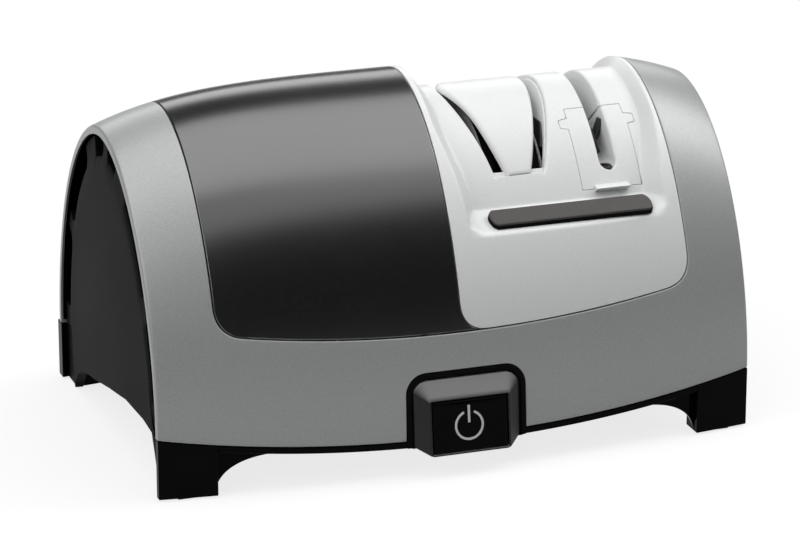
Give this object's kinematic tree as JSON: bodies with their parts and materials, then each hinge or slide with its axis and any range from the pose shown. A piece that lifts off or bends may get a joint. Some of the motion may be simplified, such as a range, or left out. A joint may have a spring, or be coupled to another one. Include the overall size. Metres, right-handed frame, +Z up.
{
  "type": "electric knife sharpener",
  "caption": "Arched tabletop electric knife sharpener with slanted coarse slots, a pull-out fine slot, a sunk blade deck, vented ends and a front push button.",
  "frame": {"origin": "on the table under the middle of the object", "axes": "+X to the right along the length, +Z up, front with the button towards -Y"},
  "size_m": [0.23, 0.1622, 0.1321],
  "materials": {
    "grey_shell": "satin metallic grey paint",
    "black_panel": "black metallic paint with fine flake",
    "white_deck": "satin silver white",
    "grey_rubber": "soft matt",
    "foot_rubber": "matt",
    "black_gloss": "gloss",
    "black_matt": "fine texture",
    "ivory_plastic": "moulded",
    "ceramic": "fired ceramic",
    "abrasive": "diamond grit on steel",
    "spring_steel": "bright",
    "screw_steel": "plated",
    "machined_steel": "turned",
    "plated_steel": "zinc plated sheet",
    "laminations": "stacked sheet",
    "bronze": "sintered",
    "copper_wire": "enamelled wire",
    "lead_sheath": "smooth sheath"
  },
  "bodies": {
    "housing": {"upper_shell": "grey_shell", "dark_panel": "black_panel", "guide_deck": "white_deck", "coarse_wedge": "white_deck", "left_guide_leaf": "spring_steel", "right_guide_leaf": "spring_steel", "blade_rest_pad": "grey_rubber", "base_housing": "black_gloss", "front_left_foot": "foot_rubber", "rear_left_foot": "foot_rubber", "front_right_foot": "foot_rubber", "rear_right_foot": "foot_rubber", "front_left_screw": "screw_steel", "rear_left_screw": "screw_steel", "front_right_screw": "screw_steel", "rear_right_screw": "screw_steel", "left_end_cap": "black_matt", "right_end_cap": "black_matt", "button_bezel": "black_gloss", "switch_body": "black_matt", "button_spring": "spring_steel", "grinder_frame": "plated_steel", "left_spindle_bush": "bronze", "right_spindle_bush": "bronze", "stator_stack": "laminations", "coil_bobbin": "ivory_plastic", "coil_winding": "copper_wire", "left_bearing_bracket": "plated_steel", "right_bearing_bracket": "plated_steel", "left_motor_bush": "bronze", "right_motor_bush": "bronze", "front_clamp_screw": "screw_steel", "rear_clamp_screw": "screw_steel", "cord_gland": "foot_rubber", "supply_lead": "lead_sheath", "motor_lead": "lead_sheath"},
    "spindle_line": {"left_grinding_wheel": "abrasive", "right_grinding_wheel": "abrasive", "wheel_hub": "machined_steel", "spindle": "machined_steel", "shaft_coupling": "black_matt", "motor_shaft": "machined_steel", "rotor": "laminations", "cooling_fan": "black_matt"},
    "button": {"power_button": "black_gloss", "switch_plunger": "ivory_plastic"},
    "fine_stage": {"fine_cartridge": "white_deck", "front_ceramic_rod": "ceramic", "rear_ceramic_rod": "ceramic", "rod_screw": "screw_steel"}
  },
  "joints": [
    {"name": "spindle_spin", "type": "hinge", "parent": "housing", "child": "spindle_line", "pos_m": [0, 0, 0.0766], "axis": [1, 0, 0], "continuous": true},
    {"name": "button_press", "type": "slide", "parent": "housing", "child": "button", "axis": [0, 1, 0], "range_m": [0, 0.002], "stiffness_N_per_m": 600, "springref_m": -0.001, "deforming": ["button_spring"]},
    {"name": "fine_stage_pull", "type": "slide", "parent": "housing", "child": "fine_stage", "axis": [0, -0.7716, 0.6361], "range_m": [0, 0.03]}
  ]
}
